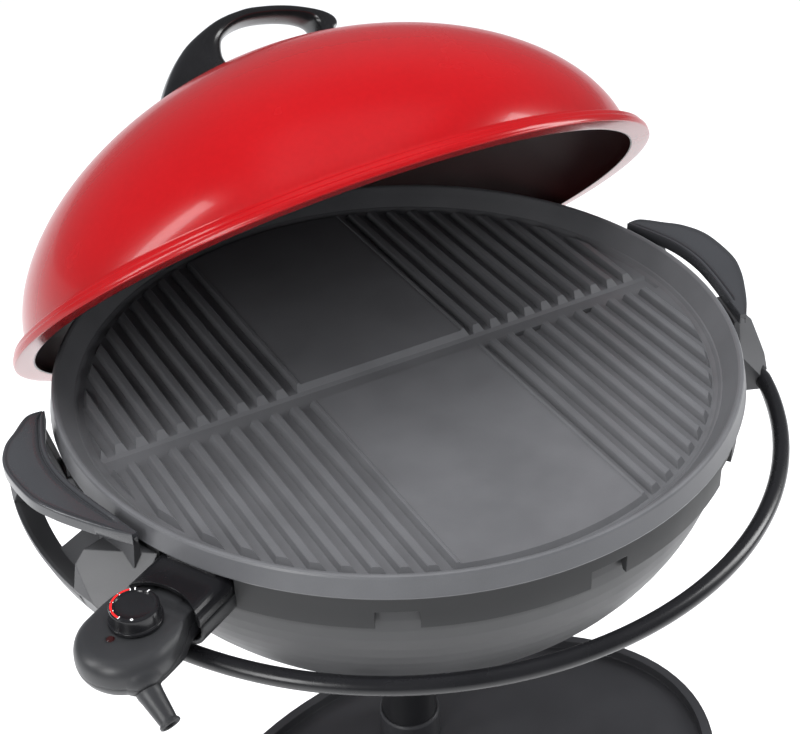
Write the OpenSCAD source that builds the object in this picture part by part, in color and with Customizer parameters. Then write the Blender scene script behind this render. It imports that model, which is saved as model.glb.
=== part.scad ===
// Electric grill on a pedestal, with a lift-off domed lid that hangs behind the grill plate.
// Origin: centre of the base pad, on the floor. +X is the right-hand handle, -Y the front, +Z up.
// Heights named *_drop are measured down from the crest of the grill plate's rim.

/* [Stand] */
// Height of the grill plate's rim above the floor
deck_z = 800; // [700:5:900]
// Diameter of the round base
base_d = 450; // [400:5:520]
// Height of the base at its rim
base_rim_h = 12; // [8:1:20]
// Height of the base's socket for the pole
base_boss_h = 46; // [40:1:70]
// Thickness of the rubber pad under the base
pad_t = 3; // [2:0.5:6]
// Outer diameter of the pole
pole_d = 45; // [38:1:50]
// Wall of the pole
pole_wall = 2; // [1.5:0.5:3]
// Length of the coupling below the shelf
coupling_below = 60; // [40:5:90]
// Length of the coupling above the shelf
coupling_above = 60; // [40:5:90]
// Diameter of the flange under the bowl
flange_d = 120; // [100:2:140]
// Thickness of the flange under the bowl
flange_t = 6; // [4:1:10]
// Length of the flange's spigot in the pole
spigot_l = 45; // [30:5:70]

/* [Shelf] */
// Underside of the shelf, below the rim of the grill plate
shelf_drop = 390; // [360:5:440]
// Length of the shelf, left to right
shelf_len = 446; // [400:2:480]
// Width of the shelf, front to back
shelf_wid = 313; // [280:1:340]
// Centre of the shelf in front of the pole
shelf_fwd = 85; // [60:1:100]
// Thickness of the shelf's floor
shelf_floor_t = 3; // [2:0.5:5]
// Height of the shelf's rim
shelf_rim_h = 12; // [8:1:20]
// Width of the shelf's rolled rim
shelf_rim_w = 9; // [6:1:12]
// Height of the collar on the shelf
collar_h = 25; // [18:1:40]
// Wall of the collar on the shelf
collar_wall = 2.8; // [2:0.1:4]

/* [Bowl] */
// Outer radius of the bowl at its top
bowl_r = 236.2; // [235.6:0.1:236.4]
// Depth of the full ellipse that the bowl follows
bowl_depth = 179.7; // [176:0.5:190]
// Top of the ellipse below the rim of the grill plate
bowl_curve_drop = 30; // [28:1:34]
// Flat bottom of the bowl below the rim of the grill plate
bowl_flat_drop = 200; // [196:1:203]
// Wall of the bowl
bowl_wall = 2.5; // [2:0.1:3]
// Thickness of the bowl's flat bottom
bowl_floor_t = 5; // [4:0.5:7]

/* [Rim ring] */
// Thickness of the ring outside the bowl
ring_wall = 4.8; // [4.4:0.1:5.2]
// Width of the ring's top lip inside the bowl's outer edge
ring_lip_w = 5.2; // [4.4:0.1:5.8]
// Thickness of the ring's top lip
ring_lip_t = 3.4; // [2.5:0.1:5]
// Lower edge of the ring between its teeth
ring_short_drop = 28.5; // [26:0.5:32]
// Lower edge of the ring's teeth
ring_long_drop = 42; // [38:0.5:46]
// Number of teeth on the ring
ring_teeth = 11; // [9:1:13]
// Width of the gap between two teeth, in degrees
ring_gap_deg = 6.5; // [5:0.5:8]
// Direction of the front gap, in degrees
ring_gap_at = -86.4; // [-90:0.1:-84]

/* [Grill plate] */
// Reach of the skirt's lower edge past the ring
skirt_over = 3.6; // [3.2:0.1:4.2]
// Reach of the skirt's lower edge past the crest of the rim
skirt_flare = 4.6; // [3.6:0.1:5.2]
// Height of the skirt
skirt_h = 15.6; // [14:0.2:17]
// Thickness of the skirt at its lower edge
skirt_t = 6.1; // [5:0.1:7]
// Level of the rib tops below the crest
rib_top_drop = 12.7; // [11:0.1:14]
// Height of the ribs
rib_h = 4.5; // [3:0.1:6]
// Thickness of the plate under the ribs
plate_t = 5.8; // [4:0.2:8]
// Width of the flat circle between the rib ends and the rim's foot
ribbed_in = 4.4; // [3.4:0.2:8]
// Width of the rim's inner slope, from its foot to the crest
rim_slope_w = 17; // [15:0.2:18]
// Distance between two ribs
rib_pitch = 14.9; // [13:0.1:17]
// Width of a rib's top
rib_top_w = 4.7; // [3:0.1:6]
// Width of a rib's foot
rib_foot_w = 9; // [7:0.1:11]
// First rib to the right of the smooth middle
rib_right_x = 72.5; // [70:0.5:80]
// First rib to the left of the smooth middle
rib_left_x = 87; // [80:0.5:90]
// Number of ribs on each side
ribs_side = 10; // [8:1:10]
// Right edge of the smooth front area
smooth_right = 62.7; // [58:0.1:64]
// Left edge of the smooth front area
smooth_left = 74; // [68:0.5:76]
// Width of the raised line beside the smooth area
border_w = 3; // [2:0.2:4]
// Height of the raised line above the smooth area
border_h = 0.8; // [0.4:0.1:1.2]
// Front edge of the cross channel
channel_front = 11.5; // [9:0.5:14]
// Back edge of the cross channel
channel_back = 12; // [9:0.5:14]
// Depth of the cross channel below the foot of the ribs
channel_deep = 1.4; // [0.8:0.1:2]
// Start of the first drain slot
slot_a_x = 93; // [85:1:100]
// Length of the first drain slot
slot_a_len = 28; // [20:1:34]
// Start of the second drain slot
slot_b_x = 148; // [140:1:156]
// Length of the second drain slot
slot_b_len = 17; // [12:1:24]
// Width of the drain slots
slot_w = 6.6; // [5:0.1:7.5]

/* [Heating element] */
// Radius of the element's loop
element_r = 150; // [130:1:170]
// Diameter of the element's tube
element_d = 7; // [6:0.2:8]
// Distance between the two legs of the element
element_legs = 22; // [18:1:26]
// Diameter of the terminal pins
pin_d = 4; // [3:0.2:5]
// Length of the terminal pins
pin_l = 34; // [28:1:40]

/* [Thermostat] */
// Direction of the thermostat's socket, in degrees
socket_at = -150; // [-156:1:-144]
// Half width of the socket housing
socket_half_w = 28.2; // [27.8:0.1:28.4]
// Wall of the socket housing
socket_wall = 2.6; // [2:0.1:3.5]
// Reach of the socket housing past the ring
socket_reach = 30; // [27:0.5:32]
// Top of the socket housing below the crest
socket_top_drop = 31; // [29:0.5:33]
// Underside of the socket housing below the crest
socket_drop = 50; // [47:0.5:51]
// Half width of the shroud over the socket
shroud_half_w = 27.4; // [26.8:0.1:27.6]
// Wall of the shroud
shroud_wall = 2.4; // [2:0.1:3]
// Reach of the shroud past the socket housing
shroud_over = 2; // [0:0.5:3]
// Half width of the thermostat's neck
neck_half_w = 20.4; // [18:0.2:21]
// Distance of the thermostat's inner end from the ring
neck_gap = 9; // [7:0.5:13]
// Underside of the thermostat below the crest
stat_drop = 47; // [44:0.5:48]
// Joint between the two halves of the thermostat, below the crest
stat_seam_drop = 33; // [31:0.5:36]
// Top of the thermostat below the crest
stat_top_drop = 17; // [15:0.5:18]
// Diameter of the temperature probe
probe_d = 6; // [4:0.5:7]
// Length of the temperature probe from the neck
probe_l = 60; // [40:1:80]

/* [Dial] */
// Diameter of the dial's foot
dial_d = 33; // [30:0.5:35]
// Diameter of the dial's top
dial_top_d = 30; // [26:0.5:31]
// Height of the dial
dial_h = 12; // [9:0.5:15]
// Distance of the dial from the thermostat's inner end
dial_out = 46.5; // [46:0.5:54]
// Diameter of the dial's shaft
dial_shaft_d = 6; // [4:0.5:8]

/* [Handles] */
// Thickness of a handle's wing
wing_t = 4.4; // [3.5:0.1:6]
// Depth of the lip around a wing
lip_deep = 9; // [7:0.5:12]
// Width of the lip around a wing
lip_w = 2.6; // [2:0.1:4]
// Width of the ridge along a wing's inner edge
ridge_w = 4.4; // [3:0.1:5]
// Gap between the ring and a handle's rail
rail_gap = 21; // [19:0.5:23]
// Width of a handle's rail
rail_w = 17; // [16:0.5:20]
// Top of a handle's rail below the crest
rail_top_drop = 50; // [46:0.5:51]
// Underside of a handle's rail below the crest
rail_low_drop = 66; // [64.5:0.5:68]
// Top of a handle's front block below the crest
block_top_drop = 22; // [20:0.5:26]

/* [Hoop] */
// Centre line of the hoop inside the rails' outer edge
hoop_in = 7; // [6.6:0.2:8]
// Diameter of the hoop's tube
hoop_d = 12; // [10:0.5:13]
// Centre line of the hoop below the crest
hoop_drop = 58; // [57.5:0.5:58.5]

/* [Lid] */
// Tilt of the lid as it hangs, in degrees
lid_tilt = 43.3; // [43.3:0.1:43.4]
// Front of the lid's centre to the back of the plate's crest
lid_fore = 151.1; // [150:0.1:151.1]
// Centre of the lid's rim above the crest
lid_up = 24.5; // [24.5:0.1:26]
// Reach of the lid's bead past the plate's crest
bead_over = 5.2; // [4.8:0.1:6]
// Width of the bead outside the dome
bead_w = 12.9; // [12.2:0.1:13.4]
// Height of the lid's bead
bead_h = 11.5; // [10:0.5:13]
// Height of the dome over the rim
dome_h = 159; // [150:1:162]
// Fullness of the dome's curve
dome_power = 1.82; // [1.75:0.01:1.9]
// Wall of the dome
dome_wall = 1.6; // [1.4:0.1:2]

/* [Lid handle] */
// Width of the lid handle across its grip
lid_grip_w = 26; // [20:1:32]
// Width of the lid handle across its feet
lid_foot_w = 46; // [40:1:54]
// Length of the plate under the lid handle's right foot
foot_plate_l = 70; // [60:1:74]
// Width of the plate under the lid handle's right foot
foot_plate_w = 50; // [44:1:54]
// Top of the plate over the lid's rim
foot_plate_z = 164.5; // [162:0.5:164.5]

/* [Lid holder] */
// Angle of each hook from the back, in degrees
hook_at = 15; // [12:1:20]
// Width of a hook
hook_w = 12; // [8:1:16]
// Thickness of a hook's metal
hook_t = 3; // [2:0.5:4]
// Length of the hooks' inner fingers
hook_finger = 84; // [60:2:90]

/* [Drip pan] */
// Radius of the pan's floor
pan_floor_r = 66; // [60:1:70]
// Radius of the pan's rim
pan_rim_r = 163; // [150:1:164]
// Height of the pan
pan_h = 46; // [44:1:60]
// Wall of the pan
pan_wall = 1.5; // [1:0.1:2]

/* [Fits] */
// Gap between separate bodies that touch
body_gap = 0.3; // [0.2:0.05:0.5]
// Gap round a screw or a pin in its hole
hole_gap = 0.15; // [0.1:0.05:0.3]
// Gap between the pole and what slides into it
pole_gap = 0.1; // [0.05:0.05:0.2]

/* [Hidden] */
$fn = 96;

ring_r = bowl_r + ring_wall;
ring_lip_r = bowl_r - ring_lip_w;
skirt_r = ring_r + skirt_over;
plate_r = skirt_r - skirt_flare;
rim_foot_r = plate_r - rim_slope_w;
ribbed_r = rim_foot_r - ribbed_in;
socket_end = ring_r + socket_reach;
shroud_end = socket_end + shroud_over;
neck_start = ring_r + neck_gap;
dial_u = neck_start + dial_out;
rail_in_r = ring_r + rail_gap;
rail_out_r = rail_in_r + rail_w;
hoop_r = rail_out_r - hoop_in;
bead_r = plate_r + bead_over;
dome_r = bead_r - bead_w;
lid_back = plate_r - lid_fore;
shelf_z = deck_z - shelf_drop;
pole_in_d = pole_d - 2 * pole_wall;
core_d = pole_in_d - 2 * pole_gap;
coupling_flange_d = pole_d + 16;
coupling_flange_t = 4;
bowl_flat_z = deck_z - bowl_flat_drop;
flange_z = bowl_flat_z - flange_t;
seat_z = -skirt_h;
rib_foot_drop = rib_top_drop + rib_h;
plate_under = -(rib_foot_drop + plate_t);
hook_pad_z = -118;
flange_screw_d = 5;
handle_front_at = -19.6;
handle_rear_at = 10.5;
handle_screw_z = -(rail_top_drop + rail_low_drop) / 2 + 6;

// Smooth curve through points
function spline_at(a, b, c, d, t) = 0.5 * ((2 * b) + (c - a) * t + (2 * a - 5 * b + 4 * c - d) * t * t
    + (3 * b - a - 3 * c + d) * t * t * t);
function closed_curve(p, n) = [for (i = [0:len(p) - 1]) for (k = [0:n - 1])
    spline_at(p[(i + len(p) - 1) % len(p)], p[i], p[(i + 1) % len(p)], p[(i + 2) % len(p)], k / n)];
function open_curve(p, n) = [for (i = [0:len(p) - 2]) for (k = [0:(i == len(p) - 2 ? n : n - 1)])
    spline_at(p[max(i - 1, 0)], p[i], p[i + 1], p[min(i + 2, len(p) - 1)], k / n)];
function reversed(p) = [for (i = [len(p) - 1:-1:0]) p[i]];
function polar(r, a) = [r * cos(a), r * sin(a)];
function ellipse_points(a, b, n) = [for (i = [0:n - 1]) [a * cos(i * 360 / n), b * sin(i * 360 / n)]];

// Outer or inner curve of the bowl, from its top down to where it turns flat
function bowl_curve(r, deep, top, flat) =
    let (last = asin((flat - top) / deep))
    [for (i = [0:22]) [r * cos(last * i / 22), -top - deep * sin(last * i / 22)]];

// Radius of the bowl's outside at a height
function bowl_out_r(z) = bowl_r * sqrt(1 - pow((-z - bowl_curve_drop) / bowl_depth, 2));

// Curve of the dome from its wall up to its top, drawn in from the outside by a wall
function dome_curve(wall) = [for (i = [0:24])
    let (t = 90 * i / 24)
    [(dome_r - wall) * pow(cos(t), 2 / dome_power),
     bead_h + (dome_h - bead_h - wall) * pow(sin(t), 2 / dome_power)]];

// Radius inside the dome at a height over the lid's rim
function dome_in_r(h) = h <= bead_h ? dome_r - dome_wall :
    (dome_r - dome_wall) * pow(1 - pow((h - bead_h) / (dome_h - bead_h - dome_wall), dome_power),
    1 / dome_power);

module at_deck() {
    translate([0, 0, deck_z]) children();
}

module at_socket() {
    at_deck() rotate([0, 0, socket_at]) children();
}

module at_lid() {
    translate([0, lid_back, deck_z + lid_up]) rotate([-lid_tilt, 0, 0]) children();
}

// Turns a drawing in radius and height into a shape that runs along the radius at y = 0
module along_y(width) {
    rotate([90, 0, 0]) linear_extrude(width, center = true) children();
}

module sides() {
    children();
    mirror([1, 0, 0]) children();
}

// Stand

module base_pad() {
    color("dimgray") cylinder(h = pad_t, d = base_d - 16);
}

module base_plate() {
    r = base_d / 2;
    edge = 4;
    slope = open_curve([[r - edge, pad_t + base_rim_h], [r * 0.72, pad_t + base_rim_h + 9],
        [r * 0.4, pad_t + base_rim_h + 15], [pole_d / 2 + 14, pad_t + base_boss_h - 8],
        [pole_d / 2 + 6, pad_t + base_boss_h]], 5);
    color("#2c2c2e") difference() {
        rotate_extrude() polygon(concat([[0, pad_t], [r - 2, pad_t], [r, pad_t + 3],
            [r, pad_t + base_rim_h - edge], [r - 1.2, pad_t + base_rim_h - 1.2]], slope,
            [[0, pad_t + base_boss_h]]));
        translate([0, 0, pad_t + 10]) cylinder(h = base_boss_h, d = pole_d + 2 * pole_gap);
    }
}

module tube(low, high) {
    translate([0, 0, low]) difference() {
        cylinder(h = high - low, d = pole_d);
        translate([0, 0, -1]) cylinder(h = high - low + 2, d = pole_in_d);
    }
}

module pole_lower() {
    color("#2a2a2c") tube(pad_t + 10, shelf_z - coupling_flange_t);
}

module pole_coupling() {
    color("gray") {
        translate([0, 0, shelf_z - coupling_below])
            cylinder(h = coupling_below + coupling_above, d = core_d);
        translate([0, 0, shelf_z - coupling_flange_t])
            cylinder(h = coupling_flange_t, d = coupling_flange_d);
    }
}

module pole_upper() {
    color("#2a2a2c") tube(shelf_z + shelf_floor_t, flange_z);
}

// Shelf

module shelf() {
    a = shelf_len / 2;
    b = shelf_wid / 2;
    color("#303133") translate([0, 0, shelf_z]) difference() {
        union() {
            translate([0, -shelf_fwd, 0]) {
                linear_extrude(shelf_floor_t) polygon(ellipse_points(a - 3, b - 3, 90));
                difference() {
                    union() {
                        translate([0, 0, shelf_rim_h * 0.35]) linear_extrude(shelf_rim_h * 0.5)
                            polygon(ellipse_points(a, b, 90));
                        linear_extrude(shelf_rim_h) polygon(ellipse_points(a - 2, b - 2, 90));
                    }
                    translate([0, 0, -1]) linear_extrude(shelf_rim_h + 2)
                        polygon(ellipse_points(a - shelf_rim_w, b - shelf_rim_w, 90));
                }
            }
        }
        translate([0, 0, -1]) cylinder(h = shelf_floor_t + 2, d = core_d + 2 * pole_gap);
    }
}

module shelf_collar() {
    color("#3a3a3c") translate([0, 0, shelf_z + shelf_floor_t]) difference() {
        union() {
            cylinder(h = collar_h - 2, d = pole_d + 2 * collar_wall);
            translate([0, 0, collar_h - 2])
                cylinder(h = 2, d1 = pole_d + 2 * collar_wall, d2 = pole_d + 2 * collar_wall - 2.4);
        }
        translate([0, 0, -1]) cylinder(h = collar_h + 2, d = pole_d + 2 * pole_gap);
    }
}

// Bowl and its ring

module head_flange() {
    color("#2a2a2c") difference() {
        union() {
            translate([0, 0, flange_z]) cylinder(h = flange_t, d = flange_d);
            translate([0, 0, flange_z - spigot_l]) cylinder(h = spigot_l, d = core_d);
        }
        flange_holes(-1, flange_t + 2);
    }
}

module flange_holes(low, h) {
    for (i = [0:3]) rotate([0, 0, 45 + 90 * i]) translate([flange_d / 2 - 14, 0, flange_z + low])
        cylinder(h = h, d = flange_screw_d + 2 * hole_gap);
}

module flange_screws() {
    color("silver") for (i = [0:3]) rotate([0, 0, 45 + 90 * i])
        translate([flange_d / 2 - 14, 0, flange_z]) {
        cylinder(h = flange_t + bowl_floor_t - 1.2, d = flange_screw_d);
        translate([0, 0, -3.4]) cylinder(h = 3.4, d = 9);
    }
}

module bowl_solid(extra) {
    top = seat_z - ring_lip_t;
    outer = concat([[bowl_r + extra, top]], bowl_curve(bowl_r, bowl_depth, bowl_curve_drop, bowl_flat_drop));
    inner = reversed(concat([[bowl_r - bowl_wall, top]], bowl_curve(bowl_r - bowl_wall,
        bowl_depth - bowl_wall, bowl_curve_drop, bowl_flat_drop - bowl_floor_t)));
    rotate_extrude() polygon(concat(outer, [[0, -bowl_flat_drop], [0, -bowl_flat_drop + bowl_floor_t]], inner));
}

module bowl() {
    color("#55565a") difference() {
        at_deck() bowl_solid(0);
        flange_holes(0, flange_t + bowl_floor_t - 1);
        at_socket() translate([bowl_r - 25, -neck_half_w - 3, -stat_drop + 3])
            cube([50, 2 * neck_half_w + 6, stat_drop]);
        at_deck() handle_screw_places() cylinder(h = 30, d = 4 + 2 * hole_gap, center = true);
        at_deck() holder_places() cylinder(h = 16, d = 4 + 2 * hole_gap, center = true);
    }
}

module rim_ring() {
    color("#38393b") difference() {
        at_deck() difference() {
            rotate_extrude() polygon([[ring_lip_r, seat_z], [ring_r - 1, seat_z], [ring_r, seat_z - 1],
                [ring_r, -ring_long_drop], [bowl_r + 1.6, -ring_long_drop], [bowl_r + 0.2, -ring_long_drop + 3],
                [bowl_r + 0.2, seat_z - ring_lip_t], [ring_lip_r, seat_z - ring_lip_t]]);
            for (i = [0:ring_teeth - 1]) rotate([0, 0, ring_gap_at + i * 360 / ring_teeth])
                translate([bowl_r - 12, -ring_r * sin(ring_gap_deg / 2), -ring_long_drop - 5])
                cube([30, 2 * ring_r * sin(ring_gap_deg / 2), ring_long_drop - ring_short_drop + 5]);
        }
        at_socket() translate([bowl_r - 25, -socket_half_w - 0.2, -ring_long_drop - 5])
            cube([50, 2 * socket_half_w + 0.4, ring_long_drop + 5]);
    }
}

// U-shaped outline across the socket, open to the top
module socket_outline(half, low, round_r) {
    corner = [for (i = [0:8]) [half - round_r + round_r * cos(90 * i / 8), -low + round_r - round_r * sin(90 * i / 8)]];
    polygon(concat([[half, -socket_top_drop]], corner, reversed([for (q = corner) [-q[0], q[1]]]),
        [[-half, -socket_top_drop]]));
}

module socket_housing() {
    start = bowl_r + 0.4;
    color("#303133") at_socket() difference() {
        translate([start, 0, 0]) rotate([90, 0, 90]) linear_extrude(socket_end - start)
            socket_outline(socket_half_w, socket_drop, 13);
        translate([start - 1, 0, 1]) rotate([90, 0, 90]) linear_extrude(socket_end - start + 2)
            socket_outline(socket_half_w - socket_wall, socket_drop - socket_wall + 1, 13 - socket_wall);
    }
}

// Handles, drawn for the right-hand side

// Reach of a wing past the plate's rim, at directions from back to front
wing_outer = [[13.3, 9], [12.6, 20], [9.4, 29.6], [6.4, 38.7], [2, 43.7], [-4.9, 41], [-9.6, 35],
    [-14.6, 26.4], [-18.6, 20], [-21.8, 14.8]];
wing_inner = [[-21.8, 10.2], [-17, 9], [-8.6, 11.2], [-2.7, 13.6], [3, 13.6], [8, 10.4], [13.3, 7]];

function wing_edge(p, inset) = open_curve([for (q = p) polar(plate_r + q[1] - inset, q[0])], 4);

module wing_shape() {
    polygon(concat(wing_edge(wing_outer, 0), wing_edge(wing_inner, 0)));
}

// Field inside the lip and the inner ridge, clear of the two tips
module wing_field(outer_inset, inner_inset) {
    polygon(concat(wing_edge([for (q = wing_outer) if (q[0] < 10 && q[0] > -19) q], outer_inset),
        wing_edge([for (q = wing_inner) if (q[0] < 10 && q[0] > -21) q], -inner_inset)));
}

module handle_wing() {
    at_deck() difference() {
        translate([0, 0, -lip_deep]) linear_extrude(lip_deep) wing_shape();
        translate([0, 0, -lip_deep - 1]) linear_extrude(lip_deep - wing_t) wing_field(lip_w, 3);
        translate([0, 0, -1]) linear_extrude(2) wing_field(lip_w, ridge_w);
    }
}

// Sloping face of the front block: a point on it and the direction that it faces
slope_at = [rail_out_r - 22, -70, -26];
slope_lean = 52.4;
slope_turn = -50.7;

module handle_rail() {
    front_a = -23;
    front_b = -14;
    web_end = -3.4;
    rear_a = 7.5;
    rear_b = 13.6;
    difference() {
        at_deck() {
            rotate([0, 0, front_b - 1]) rotate_extrude(angle = rear_b - front_b) polygon([
                [rail_in_r, -rail_top_drop - 9], [rail_out_r - 3, -rail_top_drop - 1],
                [rail_out_r, -rail_top_drop], [rail_out_r, -rail_top_drop - 4],
                [rail_out_r - 4, -rail_low_drop + 1], [rail_in_r + 1, -rail_low_drop]]);
            difference() {
                rotate([0, 0, front_a]) rotate_extrude(angle = front_b - front_a) polygon([
                    [ring_r + 0.4, -block_top_drop], [rail_out_r - 5, -block_top_drop - 2],
                    [rail_out_r + 0.5, -rail_top_drop], [rail_out_r - 4, -rail_low_drop + 1],
                    [bowl_out_r(-rail_low_drop) + 0.6, -rail_low_drop],
                    [bowl_out_r(-ring_long_drop - 3) + 0.8, -ring_long_drop - 1],
                    [ring_r + 0.4, -ring_long_drop - 0.5]]);
                translate(slope_at) rotate([0, slope_lean, slope_turn]) translate([-100, -100, 0])
                    cube([200, 200, 100]);
            }
            rotate([0, 0, front_b - 1]) rotate_extrude(angle = web_end - front_b + 1) polygon([
                [bowl_out_r(-ring_long_drop - 4) + 0.6, -ring_long_drop - 3],
                [rail_in_r + 2, -rail_top_drop - 8], [rail_in_r + 2, -rail_top_drop - 12],
                [bowl_out_r(-ring_long_drop - 8) + 0.6, -ring_long_drop - 7]]);
            rotate([0, 0, -21]) rotate_extrude(angle = 8) polygon([
                [skirt_r + 3, -block_top_drop - 8], [skirt_r + 3, -lip_deep], [plate_r + 11.5, -lip_deep],
                [plate_r + 14, -block_top_drop - 8]]);
            rotate([0, 0, rear_a]) rotate_extrude(angle = rear_b - rear_a) polygon([
                [ring_r + 0.4, -rail_top_drop + 6], [rail_in_r - 12, -lip_deep], [plate_r + 20, -lip_deep],
                [rail_out_r, -rail_top_drop], [rail_out_r - 4, -rail_low_drop + 1],
                [bowl_out_r(-rail_low_drop) + 0.6, -rail_low_drop],
                [bowl_out_r(-ring_long_drop - 3) + 0.8, -ring_long_drop - 1],
                [ring_r + 0.4, -ring_long_drop - 0.5]]);
        }
        at_deck() translate([0, 0, -hoop_drop]) rotate([0, 0, -60]) rotate_extrude(angle = 39.5)
            translate([hoop_r, 0]) circle(d = hoop_d + 0.2);
        at_deck() right_screw_places() translate([0, 0, -4]) cylinder(h = 34, d = 4 + 2 * hole_gap);
    }
}

module left_handle_wing() {
    color("#46474a") mirror([1, 0, 0]) handle_wing();
}

module left_handle_rail() {
    color("#505154") mirror([1, 0, 0]) handle_rail();
}

module right_handle_wing() {
    color("#46474a") handle_wing();
}

module right_handle_rail() {
    color("#505154") handle_rail();
}

// Radial screws through the bowl's wall into the right-hand handle
module right_screw_places() {
    for (a = [handle_front_at, handle_rear_at]) rotate([0, 0, a])
        translate([bowl_out_r(handle_screw_z) - 6, 0, handle_screw_z]) rotate([0, 90, 0]) children();
}

module handle_screw_places() {
    sides() right_screw_places() children();
}

module handle_screws() {
    color("silver") at_deck() handle_screw_places() {
        translate([0, 0, 0.4]) cylinder(h = 2.4, d = 8);
        cylinder(h = 20, d = 4);
    }
}

module hoop() {
    end = 21.5;
    color("#2e2e30") at_deck() translate([0, 0, -hoop_drop]) rotate([0, 0, end - 180])
        rotate_extrude(angle = 180 - 2 * end) translate([hoop_r, 0]) circle(d = hoop_d);
}

// Lid holder: two hooks under the rear of the lid's rim, and bars to the back of the bowl

// Place of a bar on the bowl's back, with +Z pointing into the bowl
module holder_place(s) {
    z = hook_pad_z;
    rotate([0, 0, 90 + s * hook_at]) translate([bowl_out_r(z), 0, z])
        rotate([0, -90 + holder_slope(z), 0]) children();
}

module holder_places() {
    for (s = [-1, 1]) holder_place(s) children();
}

module holder_screws() {
    color("silver") at_deck() holder_places() {
        translate([0, 0, -6.6]) cylinder(h = 10, d = 4);
        translate([0, 0, -8.8]) cylinder(h = 2.4, d = 8);
    }
}

module hook_profile() {
    inner = [for (i = [0:8]) let (h = hook_finger * i / 8) [dome_in_r(h) - 1.2, h]];
    low = -body_gap;
    polygon(concat([[bead_r + body_gap + hook_t, low - hook_t], [bead_r + body_gap + hook_t, bead_h + 3],
        [bead_r + body_gap, bead_h + 3], [bead_r + body_gap, low], [dome_r - dome_wall - 1.2, low]],
        inner, reversed([for (q = inner) [q[0] - hook_t, q[1]]]),
        [[dome_r - dome_wall - 1.2 - hook_t, low - hook_t]]));
}

// Block under each hook's base that the bar ends in, and the bar's diameter and its side step past the screw
hook_block_h = 8.4;
hook_bar_d = 6;
hook_bar_step = 8;
hook_pad_t = 6.2;

function holder_slope(z) = atan2((-z - bowl_curve_drop) / pow(bowl_depth, 2), bowl_out_r(z) / pow(bowl_r, 2));

function turned(p, a) = [p[0] * cos(a) - p[1] * sin(a), p[0] * sin(a) + p[1] * cos(a), p[2]];

function lid_point(p) = [p[0], lid_back + p[1] * cos(lid_tilt) + p[2] * sin(lid_tilt),
    deck_z + lid_up - p[1] * sin(lid_tilt) + p[2] * cos(lid_tilt)];

function bar_top(s) = lid_point(turned([dome_r + 5, 0, -body_gap - 0.3 - hook_block_h / 2 - 0.3], 90 + s * hook_at));

function bar_foot(s) = let (m = hook_pad_t / 2 + 0.1, a = holder_slope(hook_pad_z))
    turned([bowl_out_r(hook_pad_z) + m * cos(a), s * hook_bar_step, deck_z + hook_pad_z - m * sin(a)],
        90 + s * hook_at);

// Straight round rod from a to b
module rod(a, b, d) {
    way = b - a;
    translate(a) rotate([0, acos(way[2] / norm(way)), atan2(way[1], way[0])]) cylinder(h = norm(way), d = d);
}

module lid_holder() {
    tie_y = (dome_r - 6) * cos(hook_at);
    tie_x = (dome_r - 6) * sin(hook_at);
    color("#3a3a3c") difference() {
        union() {
            for (s = [-1, 1]) {
                at_lid() rotate([0, 0, 90 + s * hook_at]) {
                    along_y(hook_w) hook_profile();
                    translate([dome_r - 2, -hook_w / 2 - 1, -body_gap - 0.3 - hook_block_h])
                        cube([14, hook_w + 2, hook_block_h]);
                }
                rod(bar_top(s), bar_foot(s), hook_bar_d);
            }
            at_deck() holder_places() translate([0, 0, -hook_pad_t]) cylinder(h = hook_pad_t - 0.2, d = 24);
            at_lid() translate([-tie_x, tie_y, -body_gap - hook_t]) cube([2 * tie_x, 6, hook_t]);
        }
        at_deck() holder_places() translate([0, 0, -20]) {
            cylinder(h = 30, d = 4 + 2 * hole_gap);
            cylinder(h = 20 - hook_pad_t - 0.1, d = 9);
        }
    }
}

// Grill plate

module plate_blank() {
    rotate_extrude() polygon([[0, -rib_foot_drop], [rim_foot_r - 1, -rib_foot_drop],
        [rim_foot_r + 2, -rib_foot_drop + 1.2], [rim_foot_r + 4, -rib_foot_drop + 3],
        [rim_foot_r + 5, -rib_foot_drop + 3.4], [plate_r - 5, -4.6], [plate_r - 2.4, -0.9], [plate_r - 1, -0.1],
        [plate_r, 0], [plate_r + 1.1, -0.5], [plate_r + 1.8, -1.8], [skirt_r - 0.3, -skirt_h + 1],
        [skirt_r - 0.6, seat_z], [skirt_r - skirt_t, seat_z], [plate_r - 4, -8], [rim_foot_r + 3, plate_under + 2],
        [rim_foot_r - 3, plate_under], [0, plate_under]]);
}

// One rib in profile, on the foot of the ribs
module rib_profile(x) {
    sunk = 0.6;
    polygon([[x - rib_foot_w / 2, -rib_foot_drop - sunk], [x - rib_foot_w / 2, -rib_foot_drop],
        [x - rib_top_w / 2 - 0.4, -rib_top_drop - 0.5], [x - rib_top_w / 2 + 0.3, -rib_top_drop],
        [x + rib_top_w / 2 - 0.3, -rib_top_drop], [x + rib_top_w / 2 + 0.4, -rib_top_drop - 0.5],
        [x + rib_foot_w / 2, -rib_foot_drop], [x + rib_foot_w / 2, -rib_foot_drop - sunk]]);
}

module ribs_profile() {
    for (i = [0:ribs_side - 1]) {
        rib_profile(rib_right_x + i * rib_pitch);
        rib_profile(-rib_left_x - i * rib_pitch);
    }
}

// Runs a profile drawn in X and Z from one Y to another
module run_y(low, high) {
    translate([0, high, 0]) rotate([90, 0, 0]) linear_extrude(high - low) children();
}

module smooth_profile() {
    polygon([[-smooth_left - 2, -rib_foot_drop - 0.6], [-smooth_left, -rib_top_drop - border_h],
        [-smooth_left + 0.4, -rib_top_drop], [-smooth_left + border_w - 0.6, -rib_top_drop],
        [-smooth_left + border_w, -rib_top_drop - border_h], [smooth_right - border_w, -rib_top_drop - border_h],
        [smooth_right - border_w + 0.6, -rib_top_drop], [smooth_right - 0.4, -rib_top_drop],
        [smooth_right, -rib_top_drop - border_h], [smooth_right + 2, -rib_foot_drop - 0.6]]);
}

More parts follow.
